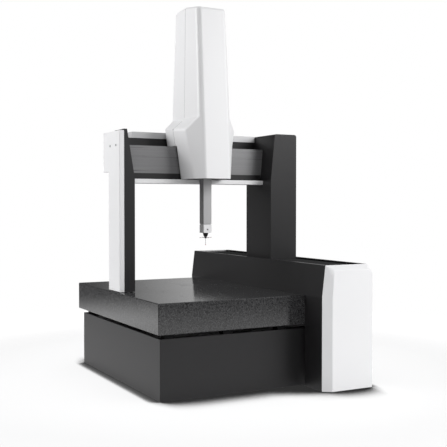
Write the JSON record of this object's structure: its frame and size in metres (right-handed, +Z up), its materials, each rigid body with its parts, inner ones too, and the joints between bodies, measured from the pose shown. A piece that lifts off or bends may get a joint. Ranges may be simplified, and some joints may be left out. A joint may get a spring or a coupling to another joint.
{
  "type": "coordinate measuring machine",
  "caption": "Bridge-type measuring machine: granite table, moving bridge with tall carriage tower, square vertical ram and a scanning probe with a star stylus.",
  "frame": {"origin": "on the floor, under the middle of the machine's box", "axes": "+Z up, +Y from the front of the table to its back, +X to the side with the drive housing"},
  "size_m": [1.514, 2.117, 2.7449],
  "materials": {
    "granite": "polished dark granite with light speckle",
    "black_paint": "satin black powder coat",
    "white_cover": "white moulded cover, satin",
    "white_sheet": "white painted sheet",
    "beam_grey": "grey anodised guideway",
    "light_metal": "light anodised aluminium",
    "steel": "machined steel",
    "ram_ceramic": "ground grey ceramic",
    "rubber": "black rubber",
    "bellows_fabric": "coated black pleated fabric",
    "motor_black": "black motor housing",
    "probe_grey": "bead-blasted aluminium",
    "lens": "dark window",
    "scale_tape": "steel scale tape",
    "ruby": "polished ruby"
  },
  "bodies": {
    "root": {"levelling_feet": "rubber", "base_frame": "black_paint", "base_panels": "black_paint", "isolators": "rubber", "granite_table": "granite", "table_inserts": "steel", "y_guideway": "granite", "y_scale": "scale_tape", "housing_inner_wall": "black_paint", "housing_outer_wall": "black_paint", "housing_frame": "black_paint", "housing_side_panels": "black_paint", "front_end_cap": "white_cover", "rear_end_cap": "white_cover", "front_bellows": "bellows_fabric", "rear_bellows": "bellows_fabric", "y_drive_rail": "light_metal", "y_belt": "rubber", "y_motor": "motor_black"},
    "y_drive_pulley": {"y_drive_pulley": "steel"},
    "y_idler_pulley": {"y_idler_pulley": "steel"},
    "bridge": {"right_saddle": "light_metal", "bridge_air_bearings": "light_metal", "y_belt_clamp": "steel", "right_leg": "black_paint", "left_leg": "black_paint", "left_leg_cover": "white_sheet", "cover_screws": "steel", "x_beam": "beam_grey", "beam_lower_trim": "black_paint", "beam_ledge": "white_sheet", "rear_duct": "black_paint", "rear_duct_lid": "light_metal", "x_belt": "rubber", "x_motor": "motor_black", "x_scale": "scale_tape"},
    "x_drive_pulley": {"x_drive_pulley": "steel"},
    "x_idler_pulley": {"x_idler_pulley": "steel"},
    "carriage": {"carriage_block": "light_metal", "carriage_air_bearings": "light_metal", "carriage_brackets": "steel", "tower_front_cover": "white_cover", "tower_rear_cover": "white_cover", "nose_plate": "black_paint", "z_belt": "rubber", "z_motor": "motor_black", "counterbalance_rod": "steel"},
    "z_drive_pulley": {"z_drive_pulley": "steel"},
    "z_idler_pulley": {"z_idler_pulley": "steel"},
    "ram": {"ram": "ram_ceramic", "z_belt_clamp": "steel", "probe_flange": "steel", "probe_housing": "probe_grey", "probe_lens": "lens"},
    "probe_x": {"probe_x_stage": "steel"},
    "probe_y": {"probe_y_stage": "steel"},
    "probe_z": {"stylus_carrier": "probe_grey", "stylus_star": "steel", "styli": "ram_ceramic", "stylus_balls": "ruby"}
  },
  "joints": [
    {"name": "bridge_slide", "type": "slide", "parent": "root", "child": "bridge", "axis": [0, 1, 0], "range_m": [-0.455, 0.545], "deforming": ["front_bellows", "rear_bellows"]},
    {"name": "carriage_slide", "type": "slide", "parent": "bridge", "child": "carriage", "axis": [1, 0, 0], "range_m": [-0.36, 0.31]},
    {"name": "ram_slide", "type": "slide", "parent": "carriage", "child": "ram", "axis": [0, 0, 1], "range_m": [-0.3, 0.29]},
    {"name": "probe_x_deflect", "type": "slide", "parent": "ram", "child": "probe_x", "axis": [1, 0, 0], "range_m": [-0.002, 0.002], "stiffness_N_per_m": 2000},
    {"name": "probe_y_deflect", "type": "slide", "parent": "probe_x", "child": "probe_y", "axis": [0, 1, 0], "range_m": [-0.002, 0.002], "stiffness_N_per_m": 2000},
    {"name": "probe_z_deflect", "type": "slide", "parent": "probe_y", "child": "probe_z", "axis": [0, 0, 1], "range_m": [-0.002, 0.002], "stiffness_N_per_m": 2000, "springref_m": 0.001},
    {"name": "y_drive_turn", "type": "hinge", "parent": "root", "child": "y_drive_pulley", "pos_m": [0.69, 0.94, 0.71], "axis": [1, 0, 0], "range_deg": [-1010, 845]},
    {"name": "y_idler_turn", "type": "hinge", "parent": "root", "child": "y_idler_pulley", "pos_m": [0.69, -0.94, 0.71], "axis": [1, 0, 0], "range_deg": [-1010, 845]},
    {"name": "x_drive_turn", "type": "hinge", "parent": "bridge", "child": "x_drive_pulley", "pos_m": [-0.58, 0.081, 1.55], "axis": [0, 1, 0], "range_deg": [-900, 775]},
    {"name": "x_idler_turn", "type": "hinge", "parent": "bridge", "child": "x_idler_pulley", "pos_m": [0.405, 0.081, 1.55], "axis": [0, 1, 0], "range_deg": [-900, 775]},
    {"name": "z_drive_turn", "type": "hinge", "parent": "carriage", "child": "z_drive_pulley", "pos_m": [0.004, -0.116, 2.6], "axis": [1, 0, 0], "range_deg": [-795, 820]},
    {"name": "z_idler_turn", "type": "hinge", "parent": "carriage", "child": "z_idler_pulley", "pos_m": [0.004, -0.116, 1.8], "axis": [1, 0, 0], "range_deg": [-795, 820]}
  ],
  "couplings": [
    {"joint": "y_drive_turn", "follows": "bridge_slide", "rad_per_m": -32.258},
    {"joint": "y_idler_turn", "follows": "bridge_slide", "rad_per_m": -32.258},
    {"joint": "x_drive_turn", "follows": "carriage_slide", "rad_per_m": 43.478},
    {"joint": "x_idler_turn", "follows": "carriage_slide", "rad_per_m": 43.478},
    {"joint": "z_drive_turn", "follows": "ram_slide", "rad_per_m": -47.619},
    {"joint": "z_idler_turn", "follows": "ram_slide", "rad_per_m": -47.619}
  ]
}
